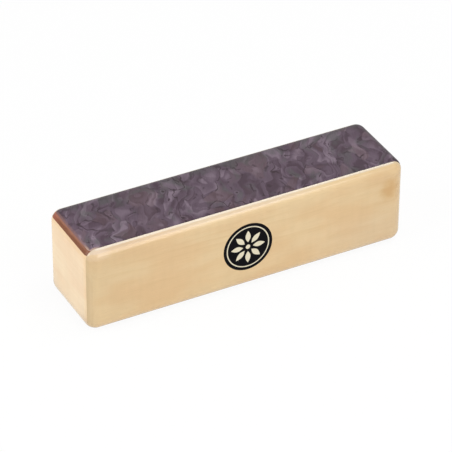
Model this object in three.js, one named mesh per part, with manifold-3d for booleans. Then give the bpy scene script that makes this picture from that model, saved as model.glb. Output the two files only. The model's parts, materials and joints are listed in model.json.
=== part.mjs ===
import * as THREE from 'three';
import { RoundedBoxGeometry } from 'three/addons/geometries/RoundedBoxGeometry.js';
import { mergeVertices } from 'three/addons/utils/BufferGeometryUtils.js';
import Module from 'manifold-3d';

// Hand shaker: a long case of glued boards, rounded over on every edge, with loose steel shot inside.
// Millimetres. The origin is the middle of the underside, +X runs along the case, the front faces -Y.

// Case outside
const caseLength = 240;
const caseWidth = 62;
const caseHeight = 65;
const edgeRadius = 8.2;
const arcSteps = 6; // steps over half of each rounded edge

// Boards: the walls run full length and height, the top and bottom lie between them and over the ends
const wallThickness = 4.8;
const endThickness = 6;
const bottomThickness = 4.8;
const coreThickness = 2.8;
const veneerThickness = 1.6;
const glueLine = 0.1;

// Loose shot on the floor of the chamber
const shotDiameter = 5;
const shotColumns = 12;
const shotRows = 4;
const shotGap = 0.4; // least free space between two balls that pass each other
const shotStray = 0.6; // how far a ball strays from its column, along the case
const shotScatter = 1.3; // how far a ball strays from its row, across the case
const shotDetail = 1;
const restGap = 0.3; // clearance under a ball that lies on the floor

// Planes of the boards, worked out from the sizes above
const innerWallY = caseWidth / 2 - wallThickness;
const fillY = innerWallY - glueLine;
const veneerBottom = caseHeight - veneerThickness;
const coreTop = veneerBottom - glueLine;
const coreBottom = coreTop - coreThickness;
const endTop = coreBottom - glueLine;
const endBottom = bottomThickness + glueLine;
const innerEndX = caseLength / 2 - endThickness;

const colours = {
  sideWood: 0xe6c99e,
  endWood: 0xf0d8b4,
  coreWood: 0x935f45,
  burl: 0x6a5f66,
  steel: 0x9aa0a6,
};

const wasm = await Module();
wasm.setup();

function toSolid(geometry) {
  const bare = geometry.clone();
  bare.deleteAttribute('normal');
  bare.deleteAttribute('uv');
  const merged = mergeVertices(bare);
  const vertProperties = new Float32Array(merged.attributes.position.array);
  const triVerts = new Uint32Array(merged.index.array);
  return new wasm.Manifold(new wasm.Mesh({ numProp: 3, vertProperties, triVerts }));
}

function toGeometry(solid) {
  const mesh = solid.getMesh();
  const geometry = new THREE.BufferGeometry();
  geometry.setAttribute('position', new THREE.BufferAttribute(mesh.vertProperties, 3));
  geometry.setIndex(new THREE.BufferAttribute(mesh.triVerts, 1));
  geometry.computeVertexNormals();
  return geometry;
}

function box(low, high) {
  const size = high.clone().sub(low);
  const middle = low.clone().add(high).multiplyScalar(0.5);
  const geometry = new THREE.BoxGeometry(size.x, size.y, size.z);
  geometry.translate(middle.x, middle.y, middle.z);
  return toSolid(geometry);
}

// The glued block with every edge and corner rounded over; each board is its own slice of it.
function roundedBlock() {
  const geometry = new RoundedBoxGeometry(caseLength, caseWidth, caseHeight, arcSteps, edgeRadius);
  geometry.translate(0, 0, caseHeight / 2);
  return toSolid(geometry);
}

const block = roundedBlock();
const outside = edgeRadius; // how far a slice's tool stands out past the block

function slice(lowX, highX, lowY, highY, lowZ, highZ) {
  const low = new THREE.Vector3(lowX, lowY, lowZ);
  const high = new THREE.Vector3(highX, highY, highZ);
  return toGeometry(block.intersect(box(low, high)));
}

const farX = caseLength / 2 + outside;
const farY = caseWidth / 2 + outside;
const farZ = caseHeight + outside;

function wall(side) {
  const inner = side * innerWallY;
  const outer = side * farY;
  return slice(-farX, farX, Math.min(inner, outer), Math.max(inner, outer), -outside, farZ);
}

function end(side) {
  const inner = side * innerEndX;
  const outer = side * farX;
  return slice(Math.min(inner, outer), Math.max(inner, outer), -fillY, fillY, endBottom, endTop);
}

function board(lowZ, highZ) {
  return slice(-farX, farX, -fillY, fillY, lowZ, highZ);
}

// One ball, with a corner of its net pointing straight down so that it rests at its full radius.
function shotBall() {
  const geometry = new THREE.IcosahedronGeometry(shotDiameter / 2, shotDetail);
  const corner = new THREE.Vector3().fromBufferAttribute(geometry.attributes.position, 0).normalize();
  const down = new THREE.Vector3(0, 0, -1);
  geometry.applyQuaternion(new THREE.Quaternion().setFromUnitVectors(corner, down));
  return geometry;
}

const goldenShare = (Math.sqrt(5) - 1) / 2;
const secondShare = Math.SQRT2 - 1;

// A fixed scatter from -1 to 1 that never repeats from one ball to the next.
function scatter(index, share) {
  return 2 * ((index * share) % 1) - 1;
}

// Balls lie in loose columns, so that a column can roll across the case past its neighbours.
function shotPlaces() {
  const columnPitch = shotDiameter + 2 * shotStray + shotGap;
  const rowPitch = shotDiameter + 2 * shotScatter + shotGap;
  const height = bottomThickness + restGap + shotDiameter / 2;
  const places = [];
  for (let column = 0; column < shotColumns; column += 1) {
    for (let row = 0; row < shotRows; row += 1) {
      const index = places.length + 1;
      const x = (column - (shotColumns - 1) / 2) * columnPitch + shotStray * scatter(index, goldenShare);
      const y = (row - (shotRows - 1) / 2) * rowPitch + shotScatter * scatter(index, secondShare);
      places.push(new THREE.Vector3(x, y, height));
    }
  }
  return places;
}

function finish(colour, roughness, metalness) {
  return new THREE.MeshStandardMaterial({ color: colour, roughness, metalness });
}

function addPiece(parent, name, geometry, material) {
  const mesh = new THREE.Mesh(geometry, material);
  mesh.name = name;
  parent.add(mesh);
  return mesh;
}

const shaker = new THREE.Group();

const shell = new THREE.Group();
shaker.add(shell);
addPiece(shell, 'front_wall', wall(-1), finish(colours.sideWood, 0.4, 0));
addPiece(shell, 'back_wall', wall(1), finish(colours.sideWood, 0.4, 0));
addPiece(shell, 'left_end', end(-1), finish(colours.endWood, 0.4, 0));
addPiece(shell, 'right_end', end(1), finish(colours.endWood, 0.4, 0));
addPiece(shell, 'bottom_board', board(-outside, bottomThickness), finish(colours.sideWood, 0.4, 0));
addPiece(shell, 'top_board', board(coreBottom, coreTop), finish(colours.coreWood, 0.45, 0));
addPiece(shell, 'top_veneer', board(veneerBottom, farZ), finish(colours.burl, 0.2, 0));

const filling = new THREE.Group();
shaker.add(filling);
shotPlaces().forEach((place, index) => {
  const name = `shot_${String(index + 1).padStart(2, '0')}`;
  const ball = addPiece(filling, name, shotBall(), finish(colours.steel, 0.25, 1));
  ball.position.copy(place);
});

export default shaker;
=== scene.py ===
import json
import math

import bmesh
import bpy
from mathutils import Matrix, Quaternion, Vector


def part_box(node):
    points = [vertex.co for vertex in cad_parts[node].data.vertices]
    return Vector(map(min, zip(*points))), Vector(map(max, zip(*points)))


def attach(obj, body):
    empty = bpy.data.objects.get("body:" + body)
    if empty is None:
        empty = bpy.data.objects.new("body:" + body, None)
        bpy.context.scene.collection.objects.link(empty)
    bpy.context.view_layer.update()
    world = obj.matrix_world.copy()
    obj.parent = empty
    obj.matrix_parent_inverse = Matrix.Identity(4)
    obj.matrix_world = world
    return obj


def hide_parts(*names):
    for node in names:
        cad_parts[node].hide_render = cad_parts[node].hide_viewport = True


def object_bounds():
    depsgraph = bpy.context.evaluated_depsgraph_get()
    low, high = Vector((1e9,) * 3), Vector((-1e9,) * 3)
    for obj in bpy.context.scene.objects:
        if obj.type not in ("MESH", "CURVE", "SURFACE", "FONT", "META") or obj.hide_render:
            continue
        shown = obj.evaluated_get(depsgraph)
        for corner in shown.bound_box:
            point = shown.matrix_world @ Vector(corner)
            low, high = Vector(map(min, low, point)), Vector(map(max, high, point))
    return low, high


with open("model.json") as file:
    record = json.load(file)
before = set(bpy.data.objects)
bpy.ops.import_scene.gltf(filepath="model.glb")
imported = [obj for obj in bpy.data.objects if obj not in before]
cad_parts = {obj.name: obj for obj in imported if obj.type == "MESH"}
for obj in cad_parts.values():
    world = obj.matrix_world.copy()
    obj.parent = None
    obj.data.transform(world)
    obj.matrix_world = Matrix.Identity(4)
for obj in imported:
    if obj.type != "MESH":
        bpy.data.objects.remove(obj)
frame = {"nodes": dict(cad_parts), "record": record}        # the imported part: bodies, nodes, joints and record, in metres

# Box shaker of glued boards with a dark burl top. The front wall faces -Y, the burl is up.

mm = 0.001
cadLow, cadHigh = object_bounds()
caseMiddle = (cadLow + cadHigh) / 2

scene = bpy.context.scene
scene.view_settings.view_transform = "Standard"
print("frame loaded:", len(frame["nodes"]), "nodes")


# Camera

cameraSetup = {
    "azimuth": -28.034,    # degrees round the case, 0 looks along +Y
    "elevation": 34.745,
    "roll": 0.392,
    "distance": 2.0838,    # metres from the middle of the case
    "lens": 244.746,       # mm
    "left": 1.523 * mm,    # the view's centre lies this far left of the middle
    "down": 1.542 * mm,
    "sensor": 36,          # mm
    "farClip": 50,         # metres
}


def direction(azimuth, elevation):
    azimuth = math.radians(azimuth)
    elevation = math.radians(elevation)
    return Vector((
        math.sin(azimuth) * math.cos(elevation),
        -math.cos(azimuth) * math.cos(elevation),
        math.sin(elevation),
    ))


def makeCamera(setup):
    back = direction(setup["azimuth"], setup["elevation"])
    turn = Quaternion(back, math.radians(setup["roll"])) @ back.to_track_quat("Z", "Y")
    right = turn @ Vector((1, 0, 0))
    up = turn @ Vector((0, 1, 0))
    aim = caseMiddle - right * setup["left"] - up * setup["down"]
    data = bpy.data.cameras.new("photoCamera")
    data.sensor_width = setup["sensor"]
    data.lens = setup["lens"]
    data.clip_end = setup["farClip"]
    camera = bpy.data.objects.new("photoCamera", data)
    scene.collection.objects.link(camera)
    camera.rotation_mode = "QUATERNION"
    camera.rotation_quaternion = turn
    camera.location = aim + back * setup["distance"]
    scene.camera = camera


makeCamera(cameraSetup)
print("camera placed")


# Helpers for the material nodes; a value is a plain number, a vector, a colour or another node's socket

def newMaterial(name):
    material = bpy.data.materials.new(name)
    material.use_nodes = True
    tree = material.node_tree
    return material, tree, tree.nodes["Principled BSDF"]


def feed(tree, value, socket):
    if isinstance(value, bpy.types.NodeSocket):
        tree.links.new(value, socket)
    else:
        socket.default_value = value


def calc(tree, operation, *values):
    node = tree.nodes.new("ShaderNodeMath")
    node.operation = operation
    for value, socket in zip(values, node.inputs):
        feed(tree, value, socket)
    return node.outputs[0]


def vectorCalc(tree, operation, *values):
    node = tree.nodes.new("ShaderNodeVectorMath")
    node.operation = operation
    for value, socket in zip(values, node.inputs):
        feed(tree, value, socket)
    return node.outputs["Value" if operation == "LENGTH" else "Vector"]


def placeInMm(tree):
    coords = tree.nodes.new("ShaderNodeTexCoord")
    return vectorCalc(tree, "DIVIDE", coords.outputs["Object"], (mm, mm, mm))


def sized(tree, place, size, at=(0, 0, 0), turn=0):
    # A pattern of scale 1 read here has features of this size in mm, turned by this angle about Z.
    node = tree.nodes.new("ShaderNodeMapping")
    node.vector_type = "TEXTURE"
    feed(tree, place, node.inputs["Vector"])
    node.inputs["Location"].default_value = at
    node.inputs["Rotation"].default_value = (0, 0, math.radians(turn))
    node.inputs["Scale"].default_value = size
    return node.outputs[0]


def noise(tree, place, detail=2.0, roughness=0.5, color=False):
    node = tree.nodes.new("ShaderNodeTexNoise")
    feed(tree, place, node.inputs["Vector"])
    node.inputs["Scale"].default_value = 1
    node.inputs["Detail"].default_value = detail
    node.inputs["Roughness"].default_value = roughness
    return node.outputs["Color" if color else 0]


def fade(tree, value, start, end, low=0.0, high=1.0):
    # Goes softly from low to high as the value goes from start to end.
    node = tree.nodes.new("ShaderNodeMapRange")
    node.interpolation_type = "SMOOTHSTEP"
    feed(tree, value, node.inputs["Value"])
    node.inputs["From Min"].default_value = start
    node.inputs["From Max"].default_value = end
    node.inputs["To Min"].default_value = low
    node.inputs["To Max"].default_value = high
    return node.outputs[0]


def blend(tree, factor, first, second, mode="MIX"):
    # The Mix node keeps its colours behind its number and vector sockets.
    node = tree.nodes.new("ShaderNodeMix")
    node.data_type = "RGBA"
    node.blend_type = mode
    feed(tree, factor, node.inputs[0])
    feed(tree, first, node.inputs[6])
    feed(tree, second, node.inputs[7])
    return node.outputs[2]


def product(tree, *values):
    result = values[0]
    for value in values[1:]:
        result = calc(tree, "MULTIPLY", result, value)
    return result


def toned(tree, color, factor):
    # A colour times a number or another colour
    return blend(tree, 1.0, color, factor, "MULTIPLY")


def shift(tree, place, push, reach):
    # Pushes a place about by a colour noise, by up to half of this reach in mm.
    centred = vectorCalc(tree, "SUBTRACT", push, (0.5, 0.5, 0.5))
    return vectorCalc(tree, "MULTIPLY_ADD", centred, (reach, reach, reach), place)


def parts(tree, place):
    node = tree.nodes.new("ShaderNodeSeparateXYZ")
    feed(tree, place, node.inputs[0])
    return node.outputs["X"], node.outputs["Y"], node.outputs["Z"]


def hypotenuse(tree, first, second):
    square = calc(tree, "MULTIPLY", second, second)
    return calc(tree, "SQRT", calc(tree, "MULTIPLY_ADD", first, first, square))


def between(tree, value, low, high, soft):
    # 1 from low to high, 0 outside, with soft edges
    above = fade(tree, value, low - soft, low + soft)
    below = fade(tree, value, high - soft, high + soft, 1.0, 0.0)
    return product(tree, above, below)


def dent(tree, shader, height, depth):
    node = tree.nodes.new("ShaderNodeBump")
    feed(tree, height, node.inputs["Height"])
    node.inputs["Distance"].default_value = depth
    tree.links.new(node.outputs["Normal"], shader.inputs["Normal"])


def setFinish(shader, finish):
    for socket, value in finish.items():
        shader.inputs[socket].default_value = value


# Stage

stageSetup = {
    "size": 6.0,             # metres
    "drop": 0.2 * mm,        # the floor lies this far under the case
    "paper": (0.93, 0.93, 0.93, 1),
    "finish": {"Roughness": 0.9, "Specular IOR Level": 0.1},
    "glow": 0.93,            # how much of what the camera sees of the floor is plain white
}


def seenDirectly(tree):
    # 1 for the camera, for reflections and through glass, 0 for the light that falls on the case
    path = tree.nodes.new("ShaderNodeLightPath")
    straight = calc(tree, "MAXIMUM", path.outputs["Is Camera Ray"], path.outputs["Is Glossy Ray"])
    return calc(tree, "MAXIMUM", straight, path.outputs["Is Transmission Ray"])


def makePaper(setup):
    material, tree, shader = newMaterial("studioPaper")
    setFinish(shader, setup["finish"])
    shader.inputs["Base Color"].default_value = setup["paper"]
    glow = tree.nodes.new("ShaderNodeEmission")
    glow.inputs["Color"].default_value = (1, 1, 1, 1)
    mix = tree.nodes.new("ShaderNodeMixShader")
    feed(tree, product(tree, seenDirectly(tree), setup["glow"]), mix.inputs[0])
    feed(tree, shader.outputs[0], mix.inputs[1])
    feed(tree, glow.outputs[0], mix.inputs[2])
    feed(tree, mix.outputs[0], tree.nodes["Material Output"].inputs["Surface"])
    return material


def makeFloor(setup):
    mesh = bpy.data.meshes.new("floor")
    bm = bmesh.new()
    bmesh.ops.create_grid(bm, x_segments=1, y_segments=1, size=setup["size"] / 2)
    bmesh.ops.translate(bm, vec=(0, 0, cadLow.z - setup["drop"]), verts=bm.verts)
    bm.to_mesh(mesh)
    bm.free()
    floor = bpy.data.objects.new("floor", mesh)
    scene.collection.objects.link(floor)
    mesh.materials.append(makePaper(setup))


makeFloor(stageSetup)


# World and lamps

worldSetup = {
    "fill": 0.53,            # even light from all sides
    "white": 1.0,            # what the camera and reflections see
}


def makeWorld(setup):
    world = bpy.data.worlds.new("studio")
    scene.world = world
    world.use_nodes = True
    tree = world.node_tree
    even = tree.nodes["Background"]
    even.inputs["Color"].default_value = (1, 1, 1, 1)
    even.inputs["Strength"].default_value = setup["fill"]
    white = tree.nodes.new("ShaderNodeBackground")
    white.inputs["Color"].default_value = (1, 1, 1, 1)
    white.inputs["Strength"].default_value = setup["white"]
    mix = tree.nodes.new("ShaderNodeMixShader")
    feed(tree, seenDirectly(tree), mix.inputs[0])
    feed(tree, even.outputs[0], mix.inputs[1])
    feed(tree, white.outputs[0], mix.inputs[2])
    feed(tree, mix.outputs[0], tree.nodes["World Output"].inputs["Surface"])


# Each softbox stands in this direction from the case, in degrees; its width lies level unless it is
# turned. "size" is its width and height in metres, and "mirrored" says whether it shows in the lacquer.
lampDistance = 1.7
lampSetup = {
    "frontStrip": {
        "azimuth": 20, "elevation": 24, "turn": -27, "size": (0.27, 1.2), "power": 4.9, "mirrored": True,
    },
    "highBox": {
        "azimuth": 4, "elevation": 48, "turn": 0, "size": (0.8, 0.7), "power": 4.8, "mirrored": False,
    },
    "overheadStrip": {
        "azimuth": 77, "elevation": 67, "turn": 50, "size": (0.46, 0.9), "power": 6.6, "mirrored": True,
    },
    "leftBox": {
        "azimuth": -95, "elevation": 28, "turn": 0, "size": (1.2, 0.8), "power": 12.0, "mirrored": True,
    },
}


def makeLamps(setup):
    for name, lamp in setup.items():
        away = direction(lamp["azimuth"], lamp["elevation"])
        turn = Quaternion(away, math.radians(lamp["turn"]))
        data = bpy.data.lights.new(name, "AREA")
        data.shape = "RECTANGLE"
        data.size, data.size_y = lamp["size"]
        data.energy = lamp["power"]
        softbox = bpy.data.objects.new(name, data)
        scene.collection.objects.link(softbox)
        softbox.location = caseMiddle + away * lampDistance
        softbox.rotation_mode = "QUATERNION"
        softbox.rotation_quaternion = turn @ away.to_track_quat("Z", "Y")
        softbox.visible_glossy = lamp["mirrored"]


makeWorld(worldSetup)
makeLamps(lampSetup)
print("stage, world and lamps ready")


# Round mark printed on the middle of the front wall: a rosette of petals in a ring, in matt ink

markSetup = {
    "at": (-1.4, 0, 33.3),   # mm, as all lengths here
    "radius": 18.5,
    "face": (-20, -24),      # y, so that only the outside is printed
    "edge": 0.08,            # softness of the print's edge
    "ink": (0.0055, 0.0052, 0.0070, 1),
    "paint": (0.73, 0.67, 0.51, 1),
    "ring": (15.3, 16.1),    # inner and outer radius of the thin ring
    "petals": 8,
    "petal": (3.6, 12.9),    # where the petals start and end, from the middle
    "petalWidth": 3.9,
    "heart": 1.7,            # radius of the dot in the middle
    "coat": 0.06,            # how much of the lacquer's gloss is left on the ink
}


def petalMotif(tree, x, z, radius, setup):
    soft = setup["edge"]
    start, end = setup["petal"]
    offAxis = calc(tree, "PINGPONG", calc(tree, "ARCTAN2", z, x), math.pi / setup["petals"])
    across = product(tree, radius, calc(tree, "SINE", offAxis))
    along = calc(tree, "DIVIDE", calc(tree, "SUBTRACT", radius, start), end - start)
    swell = calc(tree, "SINE", product(tree, calc(tree, "MINIMUM", along, 1.0), math.pi))
    overhang = calc(tree, "SUBTRACT", across, product(tree, swell, setup["petalWidth"] / 2))
    withinWidth = fade(tree, overhang, -soft, soft, 1.0, 0.0)
    petals = product(tree, withinWidth, between(tree, radius, start, end, soft))
    heart = fade(tree, radius, setup["heart"] - soft, setup["heart"] + soft, 1.0, 0.0)
    ring = between(tree, radius, *setup["ring"], soft)
    return calc(tree, "MAXIMUM", petals, calc(tree, "MAXIMUM", heart, ring))


def addMark(tree, place, wood, shader, setup):
    x, y, z = parts(tree, vectorCalc(tree, "SUBTRACT", place, setup["at"]))
    radius = hypotenuse(tree, x, z)
    soft = setup["edge"]
    disc = fade(tree, radius, setup["radius"] - soft, setup["radius"] + soft, 1.0, 0.0)
    disc = product(tree, disc, fade(tree, y, *setup["face"]))
    printed = blend(tree, petalMotif(tree, x, z, radius, setup), setup["ink"], setup["paint"])
    coat = shader.inputs["Coat Weight"]
    lacquer = coat.default_value
    feed(tree, calc(tree, "MULTIPLY_ADD", disc, setup["coat"] - lacquer, lacquer), coat)
    return blend(tree, disc, wood, printed)


# Pale boards: lacquered maple, grain along the case on the sides, across it on the ends

# Each tint is a factor on the wood's colour, and its mm along an axis say where it fades in.
sideWoodSetup = {
    "light": (0.722, 0.534, 0.296, 1),
    "warm": (0.694, 0.479, 0.252, 1),
    "ringLine": (0.60, 0.385, 0.185, 1),
    "fleck": (0.46, 0.265, 0.110, 1),
    "pith": (0, 28, 20),     # mm, the tree's middle, which the growth rings go round
    "ringPitch": 3.1,
    "turn": 0,               # degrees about Z from +X, the way the grain runs
    "patch": {               # one warm spot high at the right-hand end, with a ragged outline
        "at": (108, -29, 46),
        "size": (10, 9, 12),
        "ragged": (6, 6, 3),
        "raggedReach": 7,
        "color": (0.61, 0.370, 0.150, 1),
    },
    "seamHighlight": (0.66, 0.56, 0.42, 1),    # whiter wood along the wall's top beside the dark top: a painted highlight
    "tints": [
        # paler low at the right
        {"color": (0.985, 1.02, 1.11, 1), "x": (25, 100), "z": (42, 15)},
        # painted highlight on the upper left corner, and on the rounded edge beside the seam
        {"color": (1.05, 1.09, 1.22, 1), "x": (-100, -110), "z": (56.5, 59)},
        {"color": (1.0, 1.05, 1.26, 1), "x": (70, 20), "z": (61.2, 62.4)},
        # darker on the outer part of the rounded left-hand edge, low down
        {"color": (0.945, 0.945, 0.95, 1), "x": (-115.8, -116.6), "z": (50, 40)},
    ],
}
endWoodSetup = {
    "light": (0.875, 0.680, 0.430, 1),
    "warm": (0.845, 0.615, 0.375, 1),
    "ringLine": (0.80, 0.565, 0.320, 1),
    "fleck": (0.62, 0.420, 0.220, 1),
    "pith": (0, 45, -30),
    "ringPitch": 3.4,
    "turn": 90,
    "tints": [
        # redder towards the top
        {"color": (1.0, 0.94, 0.90, 1), "z": (42, 60)},
        # painted shade low at the front, a painted sheen that makes it greyer low at the back, and painted
        # shade at the foot
        {"color": (0.90, 0.90, 0.90, 1), "y": (-12, -24), "z": (24, 6)},
        {"color": (0.93, 0.97, 1.07, 1), "y": (15, 26), "z": (26, 8)},
        {"color": (0.85, 0.87, 0.95, 1), "z": (12, 4)},
    ],
}
grainSize = {                # mm along the grain and across it
    "wobble": (95, 24, 24),  # how the growth rings wander, by up to half of the next length
    "wobbleReach": 9,
    "mottle": (46, 17, 17),
    "curl": (6, 30, 30),
    "ringPresence": (60, 12, 12),
    "fibre": (20, 0.45, 0.45),
    "pore": (3.4, 0.34, 0.34),
    "sanding": (30, 13, 13),
}
paleFinish = {
    "Roughness": 0.45,
    "Specular IOR Level": 0.0,
    "Coat Weight": 1.0,
    "Coat Roughness": 0.18,
}
poreDepth = 0.03 * mm


def growthRings(tree, grain, setup):
    # 1 on the dark late wood of each ring, 0 on the early wood
    wobble = noise(tree, sized(tree, grain, grainSize["wobble"]), color=True)
    wandering = shift(tree, grain, wobble, grainSize["wobbleReach"])
    y, z = parts(tree, vectorCalc(tree, "SUBTRACT", wandering, setup["pith"]))[1:]
    share = calc(tree, "FRACT", calc(tree, "DIVIDE", hypotenuse(tree, y, z), setup["ringPitch"]))
    return product(tree, fade(tree, share, 0.45, 0.93), fade(tree, share, 0.94, 1.0, 1.0, 0.0))


def boardGrain(tree, grain, setup):
    mottle = noise(tree, sized(tree, grain, grainSize["mottle"]), detail=3)
    color = blend(tree, fade(tree, mottle, 0.34, 0.66), setup["light"], setup["warm"])
    curl = noise(tree, sized(tree, grain, grainSize["curl"]))
    color = toned(tree, color, fade(tree, curl, 0.3, 0.7, 0.985, 1.015))
    presence = noise(tree, sized(tree, grain, grainSize["ringPresence"]), detail=1)
    presence = fade(tree, presence, 0.35, 0.7, 0.02, 0.22)
    color = blend(tree, product(tree, growthRings(tree, grain, setup), presence), color, setup["ringLine"])
    fibre = noise(tree, sized(tree, grain, grainSize["fibre"]), detail=3, roughness=0.6)
    color = toned(tree, color, fade(tree, fibre, 0.25, 0.75, 0.97, 1.025))
    pores = noise(tree, sized(tree, grain, grainSize["pore"]), detail=1)
    color = blend(tree, fade(tree, pores, 0.66, 0.80, 0.0, 0.26), color, setup["fleck"])
    return color, fibre, pores


def warmPatch(tree, place, color, patch):
    ragged = noise(tree, sized(tree, place, patch["ragged"]), color=True)
    spot = shift(tree, place, ragged, patch["raggedReach"])
    far = vectorCalc(tree, "LENGTH", sized(tree, spot, patch["size"], at=patch["at"]))
    return blend(tree, fade(tree, far, 0.2, 1.0, 0.9, 0.0), color, patch["color"])


def addTints(tree, axes, color, tints):
    for tint in tints:
        strength = 1.0
        for axis, value in axes.items():
            if axis in tint:
                strength = product(tree, strength, fade(tree, value, *tint[axis]))
        color = blend(tree, strength, color, toned(tree, color, tint["color"]))
    return color


def paleWood(name, setup, mark=None):
    material, tree, shader = newMaterial(name)
    place = placeInMm(tree)
    grain = sized(tree, place, (1, 1, 1), turn=setup["turn"])
    color, fibre, pores = boardGrain(tree, grain, setup)
    if "patch" in setup:
        color = warmPatch(tree, place, color, setup["patch"])
    x, y, z = parts(tree, place)
    color = addTints(tree, {"x": x, "y": y, "z": z}, color, setup["tints"])

    # The wood is darker towards the ends of the case, and painted shade darkens a band along its foot
    outward = calc(tree, "ABSOLUTE", x)
    darkerEndsAndPaintedShade = fade(tree, outward, 112, 119, 1.0, 0.93)
    if "seamHighlight" in setup:
        # A painted highlight: whiter wood along the wall's top beside the seam, fading out near the ends
        nearTop = fade(tree, calc(tree, "ABSOLUTE", y), 28.0, 27.0, 0.0, 0.9)
        along = fade(tree, outward, 110, 116, 1.0, 0.3)
        paintedSeamHighlight = product(tree, nearTop, fade(tree, z, 59, 61), along)
        color = blend(tree, paintedSeamHighlight, color, setup["seamHighlight"])
        # Darker at the wall's very corners, and painted shade over the wall towards both of its ends
        corner = fade(tree, outward, 117.4, 118.8, 1.0, 0.93)
        darkerEndsAndPaintedShade = product(tree, darkerEndsAndPaintedShade, corner, fade(tree, outward, 62, 106, 1.0, 0.965))
    # Painted shade in a band just above the foot, easing off on the underside
    paintedFootShade = fade(tree, z, 1.8, 5.0, 0.72, 1.0)
    paintedShadeEasedUnderneath = fade(tree, z, 0.3, 1.6, 0.96, 0.72)
    color = toned(tree, color, product(tree, darkerEndsAndPaintedShade, calc(tree, "MAXIMUM", paintedFootShade, paintedShadeEasedUnderneath)))

    setFinish(shader, paleFinish)
    if mark:
        color = addMark(tree, place, color, shader, mark)
    feed(tree, color, shader.inputs["Base Color"])
    sanding = noise(tree, sized(tree, place, grainSize["sanding"]), detail=0)
    relief = calc(tree, "MULTIPLY_ADD", pores, -0.4, fibre)
    dent(tree, shader, calc(tree, "MULTIPLY_ADD", sanding, 7.0, relief), poreDepth)
    return material


# Core of the top: red-brown hardwood, seen as a narrow edge at the ends of the case

coreSetup = {
    "light": (0.315, 0.142, 0.092, 1),
    "deep": (0.215, 0.083, 0.044, 1),
    "ruddy": (0.42, 0.130, 0.095, 1),    # towards the back
    "pore": (0.06, 0.022, 0.012, 1),
    "rightEndShade": (0.045, 0.034, 0.040, 1),   # painted shade at the right-hand end
    "layerSize": (40, 9, 1.1),           # mm
    "poreSize": (5, 0.5, 0.4),
    "finish": {
        "Roughness": 0.45,
        "Specular IOR Level": 0.0,
        "Coat Weight": 0.3,
        "Coat Roughness": 0.10,
    },
}


def coreWood(setup):
    material, tree, shader = newMaterial("coreWood")
    place = placeInMm(tree)
    x, y, z = parts(tree, place)
    layer = noise(tree, sized(tree, place, setup["layerSize"]), detail=3, roughness=0.6)
    # Lighter along the upper edge and darker along the lower: painted light and shade on the rounding
    tone = calc(tree, "ADD", layer, fade(tree, z, 61.8, 63.4, -0.24, 0.26))
    color = blend(tree, fade(tree, tone, 0.30, 0.72), setup["deep"], setup["light"])
    color = blend(tree, fade(tree, y, 14, 25, 0.0, 0.5), color, setup["ruddy"])
    color = blend(tree, fade(tree, y, -12, -24, 0.0, 0.55), color, setup["deep"])
    pores = noise(tree, sized(tree, place, setup["poreSize"]), detail=1)
    color = blend(tree, fade(tree, pores, 0.62, 0.76, 0.0, 0.6), color, setup["pore"])
    # Painted shade: near black at the right-hand end
    color = blend(tree, fade(tree, x, 60, 112, 0.0, 0.88), color, setup["rightEndShade"])
    setFinish(shader, setup["finish"])
    feed(tree, color, shader.inputs["Base Color"])
    dent(tree, shader, pores, poreDepth)
    return material


# Burl veneer: leaning flakes, swirling lines and small dark eyes under gloss lacquer

burlSetup = {
    "lean": 67,              # degrees from +X, the way the flakes lean
    "swirl": {"size": 22, "reach": 19},      # mm, how the whole figure is pushed about
    "ripple": {"size": 8, "reach": 3.5},
    "flake": (19, 9, 12),    # mm along the lean, across it and in depth, as the sizes below
    "smallFlake": (10, 5, 6.5),
    "curl": (34, 13, 16),
    "curlCount": 5,
    "shadow": (17, 9, 11),
    "ridge": (24, 11, 13),
    "fineLine": (24, 13, 15),
    "fineLineCount": 120,
    "eyeSpacing": (7.5, 6, 6),
    "fibre": (5, 0.4, 0.4),
    "dark": (0.065, 0.0375, 0.055, 1),
    "middle": (0.106, 0.070, 0.098, 1),
    "light": (0.204, 0.151, 0.193, 1),
    "brown": (0.150, 0.089, 0.088, 1),
    "grey": (0.083, 0.085, 0.081, 1),
    "eye": (0.028, 0.014, 0.019, 1),
    "thinStain": (0.27, 0.145, 0.130, 1),
    # painted highlight at the veneer's front-left corner
    "paintedCornerHighlight": (0.45, 0.31, 0.25, 1),
    "highlightCorner": (-116.5, -26.0, 63.6),     # mm
    "finish": {
        "Roughness": 0.4,
        "Specular IOR Level": 0.0,
        "Coat Weight": 0.4,
        "Coat Roughness": 0.06,
    },
}


def voronoi(tree, place, feature):
    node = tree.nodes.new("ShaderNodeTexVoronoi")
    node.feature = feature
    node.inputs["Scale"].default_value = 1
    feed(tree, place, node.inputs["Vector"])
    return node


def cells(tree, place, smoothness=0.0):
    # How far the nearest cell's middle is, and two chance values of that cell
    node = voronoi(tree, place, "SMOOTH_F1" if smoothness else "F1")
    if smoothness:
        node.inputs["Smoothness"].default_value = smoothness
    split = tree.nodes.new("ShaderNodeSeparateColor")
    feed(tree, node.outputs["Color"], split.inputs[0])
    return node.outputs["Distance"], split.outputs[0], split.outputs[1]


def curledGrain(tree, place, count):
    # Saw-tooth contours of a soft noise: each one fades in slowly and ends at a crisp edge
    steepness = 9.0
    flow = noise(tree, place, detail=1)
    tooth = calc(tree, "FRACT", product(tree, flow, count))
    fall = product(tree, calc(tree, "SUBTRACT", 1.0, tooth), steepness)
    return calc(tree, "MINIMUM", tooth, fall)


def leaning(tree, place, size, setup):
    return sized(tree, place, size, turn=setup["lean"])


def swirledPlace(tree, place, setup):
    swirl = setup["swirl"]
    ripple = setup["ripple"]
    broad = noise(tree, sized(tree, place, (swirl["size"],) * 3), detail=1, color=True)
    fine = noise(tree, sized(tree, place, (ripple["size"],) * 3), color=True)
    return shift(tree, shift(tree, place, broad, swirl["reach"]), fine, ripple["reach"])


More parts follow.
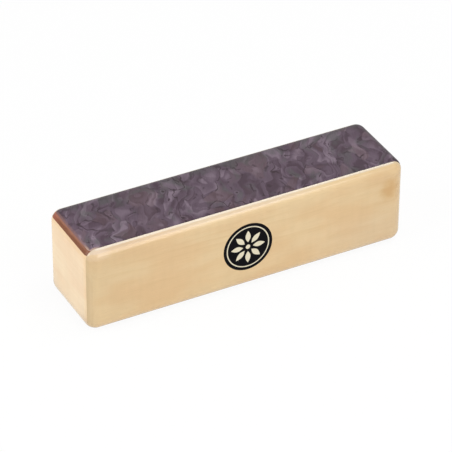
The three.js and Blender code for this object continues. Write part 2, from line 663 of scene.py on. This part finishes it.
def flakeColor(tree, swirled, flakes, setup):
    # Flakes of two sizes, and the curled grain that runs over both
    tone, hue = cells(tree, flakes, 0.32)[1:]
    smallTone = cells(tree, leaning(tree, swirled, setup["smallFlake"], setup), 0.30)[1]
    curl = curledGrain(tree, leaning(tree, swirled, setup["curl"], setup), setup["curlCount"])
    shade = calc(tree, "MULTIPLY_ADD", tone, 0.46, product(tree, smallTone, 0.22))
    shade = calc(tree, "MULTIPLY_ADD", curl, 0.32, shade)
    color = blend(tree, fade(tree, shade, 0.18, 0.46), setup["dark"], setup["middle"])
    color = blend(tree, fade(tree, shade, 0.46, 0.84), color, setup["light"])
    return blend(tree, fade(tree, hue, 0.50, 0.95, 0.0, 0.27), color, setup["brown"])


def greyShadows(tree, swirled, y, color, setup):
    # Between the flakes, and more of them towards the back, where the extra grey is a painted dark
    # reflection
    cast = noise(tree, leaning(tree, swirled, setup["shadow"], setup))
    cast = calc(tree, "ADD", cast, fade(tree, y, 10, 25, 0.0, 0.16))
    return blend(tree, fade(tree, cast, 0.52, 0.74, 0.0, 0.55), color, setup["grey"])


def darkStrokes(tree, place, swirled, flakes, color, setup):
    # Stretches of some flakes' borders, and a few longer lines across the flakes
    border = voronoi(tree, flakes, "DISTANCE_TO_EDGE").outputs["Distance"]
    somewhere = noise(tree, sized(tree, place, (6, 6, 6)), detail=1)
    outline = product(
        tree, fade(tree, border, 0.01, 0.08, 1.0, 0.0), fade(tree, somewhere, 0.54, 0.66, 0.0, 0.6),
    )
    ridge = noise(tree, leaning(tree, swirled, setup["ridge"], setup), detail=1)
    offRidge = calc(tree, "ABSOLUTE", calc(tree, "SUBTRACT", ridge, 0.47))
    stretch = noise(tree, leaning(tree, place, (17, 13, 13), setup), detail=1)
    line = product(
        tree, fade(tree, offRidge, 0.004, 0.026, 1.0, 0.0), fade(tree, stretch, 0.48, 0.39, 0.0, 0.8),
    )
    return blend(tree, calc(tree, "MAXIMUM", outline, line), color, setup["eye"])


def fineLines(tree, place, swirled, color, setup):
    # They run round the flakes, and only in places
    flow = noise(tree, leaning(tree, swirled, setup["fineLine"], setup), detail=1)
    lines = fade(tree, calc(tree, "SINE", product(tree, flow, setup["fineLineCount"])), 0.2, 1.0)
    presence = noise(tree, sized(tree, place, (14, 14, 14)), detail=1)
    presence = fade(tree, presence, 0.45, 0.65, 0.0, 0.10)
    return blend(tree, product(tree, lines, presence), color, setup["dark"])


def addEyes(tree, swirled, color, setup):
    # A dark pupil in a pale halo, in about one cell out of seven
    far, chance = cells(tree, leaning(tree, swirled, setup["eyeSpacing"], setup))[:2]
    chosen = fade(tree, chance, 0.84, 0.88)
    pupil = product(tree, fade(tree, far, 0.07, 0.19, 0.75, 0.0), chosen)
    halo = product(tree, between(tree, far, 0.22, 0.32, 0.05), chosen)
    color = blend(tree, product(tree, halo, 0.3), color, setup["light"])
    return blend(tree, pupil, color, setup["eye"]), pupil


def thinStainAndCornerHighlight(tree, place, fibre, color, setup):
    # Stain rubbed thin on the rounded left-hand edge, and a painted highlight of pale colour at its front
    # corner
    x, y = parts(tree, place)[:2]
    thin = fade(tree, calc(tree, "MULTIPLY_ADD", fibre, 2.0, x), -113.9, -115.2, 0.0, 0.62)
    color = blend(tree, thin, color, setup["thinStain"])
    atEdge = calc(tree, "MAXIMUM", fade(tree, x, -115.2, -116.2), fade(tree, y, -24.7, -25.4))
    reach = vectorCalc(tree, "LENGTH", vectorCalc(tree, "SUBTRACT", place, setup["highlightCorner"]))
    paintedCornerHighlight = product(tree, atEdge, fade(tree, reach, 3.0, 9.5, 0.85, 0.0))
    return blend(tree, paintedCornerHighlight, color, setup["paintedCornerHighlight"])


def burlVeneer(setup):
    material, tree, shader = newMaterial("burlVeneer")
    place = placeInMm(tree)
    x, y = parts(tree, place)[:2]
    swirled = swirledPlace(tree, place, setup)
    flakes = leaning(tree, swirled, setup["flake"], setup)
    color = flakeColor(tree, swirled, flakes, setup)
    color = greyShadows(tree, swirled, y, color, setup)
    color = darkStrokes(tree, place, swirled, flakes, color, setup)
    color = fineLines(tree, place, swirled, color, setup)
    color, pupil = addEyes(tree, swirled, color, setup)
    fibre = noise(tree, leaning(tree, place, setup["fibre"], setup), roughness=0.6)
    color = toned(tree, color, fade(tree, fibre, 0.25, 0.75, 0.92, 1.08))

    # Darker beside the glue lines; darker towards the back is a painted dark reflection, the darker
    # right-hand rim is painted shade and the lighter left is painted light
    glueRim = fade(tree, calc(tree, "ABSOLUTE", y), 24.6, 26.0, 1.0, 0.85)
    paintedDarkReflectionAtBack = fade(tree, y, 10, 22, 1.0, 0.88)
    paintedLightAtLeft = fade(tree, x, -112, -76, 1.14, 1.0)
    paintedShadeOnRightRim = fade(tree, x, 113.6, 116.0, 1.0, 0.5)
    color = toned(tree, color, product(tree, glueRim, paintedDarkReflectionAtBack, paintedLightAtLeft, paintedShadeOnRightRim))
    color = thinStainAndCornerHighlight(tree, place, fibre, color, setup)

    setFinish(shader, setup["finish"])
    feed(tree, color, shader.inputs["Base Color"])
    dent(tree, shader, calc(tree, "SUBTRACT", fibre, pupil), poreDepth)
    return material


finishes = {
    "side_wood": paleWood("sideWood", sideWoodSetup),
    "end_wood": paleWood("endWood", endWoodSetup),
    "core_wood": coreWood(coreSetup),
    "burl_veneer": burlVeneer(burlSetup),
}
markedWood = paleWood("sideWoodWithMark", sideWoodSetup, markSetup)
print("woods mixed:", len(finishes) + 1)


# Boards

boardSetup = {
    "edgeRadius": 8.2 * mm,
    "arcSegments": 24,
    "glueShare": 0.4,        # how far each sawn face closes the glue line, as a share of it
    "glueLine": 0.1 * mm,
    "seamEase": 0.12 * mm,   # sanded arris at each seam
    "easeSegments": 2,
    "creaseAngle": 40,       # degrees
    "tolerance": 1e-8,
}

# The sides of each board's own box that are sawn and glued; its other sides lie on the outside.
sawnSides = {
    "front_wall": ("+y",),
    "back_wall": ("-y",),
    "left_end": ("+x", "-y", "+y", "-z", "+z"),
    "right_end": ("-x", "-y", "+y", "-z", "+z"),
    "bottom_board": ("-y", "+y", "+z"),
    "top_board": ("-y", "+y", "-z", "+z"),
    "top_veneer": ("-y", "+y", "-z"),
}
slotOf = {part["node"]: part["material_slot"] for part in frame["record"]["subparts"]}


def roundedBlock(setup):
    bm = bmesh.new()
    bmesh.ops.create_cube(bm, size=1)
    bmesh.ops.scale(bm, vec=cadHigh - cadLow, verts=bm.verts)
    bmesh.ops.translate(bm, vec=caseMiddle, verts=bm.verts)
    bmesh.ops.bevel(
        bm, geom=bm.edges[:] + bm.verts[:], offset=setup["edgeRadius"], offset_type="OFFSET",
        segments=setup["arcSegments"], profile=0.5, affect="EDGES", material=-1,
    )
    return bm


def saw(bm, point, outward, tolerance):
    everything = bm.verts[:] + bm.edges[:] + bm.faces[:]
    cut = bmesh.ops.bisect_plane(
        bm, geom=everything, dist=tolerance, plane_co=point, plane_no=outward, clear_outer=True,
    )
    rim = [item for item in cut["geom_cut"] if isinstance(item, bmesh.types.BMEdge)]
    bmesh.ops.edgeloop_fill(bm, edges=rim)


def makeBoard(name, setup, material):
    low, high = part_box(name)
    overlap = setup["glueShare"] * setup["glueLine"]
    bm = roundedBlock(setup)
    for sign, axis in sawnSides[name]:
        outward = Vector((0, 0, 0))
        outward["xyz".index(axis)] = 1 if sign == "+" else -1
        corner = high if sign == "+" else low
        saw(bm, corner + outward * overlap, outward, setup["tolerance"])
    bmesh.ops.recalc_face_normals(bm, faces=bm.faces)
    mesh = bpy.data.meshes.new(name + "_finished")
    bm.to_mesh(mesh)
    bm.free()
    mesh.materials.append(material)
    for polygon in mesh.polygons:
        polygon.use_smooth = True
    mesh.set_sharp_from_angle(angle=math.radians(setup["creaseAngle"]))
    piece = bpy.data.objects.new(name + "_finished", mesh)
    scene.collection.objects.link(piece)
    ease = piece.modifiers.new("seamEase", "BEVEL")
    ease.width = setup["seamEase"]
    ease.segments = setup["easeSegments"]
    ease.limit_method = "ANGLE"
    ease.angle_limit = math.radians(setup["creaseAngle"])
    ease.harden_normals = True
    normals = piece.modifiers.new("flatFaces", "WEIGHTED_NORMAL")
    normals.keep_sharp = True
    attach(piece, "casing")
    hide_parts(name)


for boardName in sawnSides:
    wood = markedWood if boardName == "front_wall" else finishes[slotOf[boardName]]
    makeBoard(boardName, boardSetup, wood)
print("boards sawn:", len(sawnSides))


# Loose shot inside the case

shotSetup = {
    "fineness": 4,           # subdivisions of each ball
    "steel": (0.60, 0.61, 0.63, 1),
    "smudge": (0.42, 0.42, 0.43, 1),
    "roughness": (0.14, 0.30),
    "smudgeSize": (2.2, 2.2, 2.2),       # mm
    "scratchSize": (3, 0.12, 0.12),
    "scratchTurn": 25,       # degrees
    "scratchDepth": 0.01 * mm,
}


def shotSteel(setup):
    material, tree, shader = newMaterial("shotSteel")
    place = placeInMm(tree)
    smudges = noise(tree, sized(tree, place, setup["smudgeSize"]), detail=3)
    scratches = sized(tree, place, setup["scratchSize"], turn=setup["scratchTurn"])
    scratches = noise(tree, scratches, detail=1)
    color = blend(tree, fade(tree, smudges, 0.5, 0.75, 0.0, 0.6), setup["steel"], setup["smudge"])
    feed(tree, color, shader.inputs["Base Color"])
    feed(tree, fade(tree, smudges, 0.3, 0.7, *setup["roughness"]), shader.inputs["Roughness"])
    shader.inputs["Metallic"].default_value = 1
    dent(tree, shader, scratches, setup["scratchDepth"])
    return material


def makeBall(name, body, setup, material):
    low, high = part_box(name)
    bm = bmesh.new()
    bmesh.ops.create_icosphere(bm, subdivisions=setup["fineness"], radius=(high.z - low.z) / 2)
    bmesh.ops.translate(bm, vec=(low + high) / 2, verts=bm.verts)
    mesh = bpy.data.meshes.new(name + "_polished")
    bm.to_mesh(mesh)
    bm.free()
    mesh.materials.append(material)
    for polygon in mesh.polygons:
        polygon.use_smooth = True
    piece = bpy.data.objects.new(name + "_polished", mesh)
    scene.collection.objects.link(piece)
    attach(piece, body)
    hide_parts(name)


steel = shotSteel(shotSetup)
ballCount = 0
for bodyName, nodeNames in frame["record"]["behaviour"]["bodies"].items():
    for nodeName in nodeNames:
        if nodeName.startswith("shot_"):
            makeBall(nodeName, bodyName, shotSetup, steel)
            ballCount += 1
print("balls of shot:", ballCount)


# The end of the script

print("end of the script")
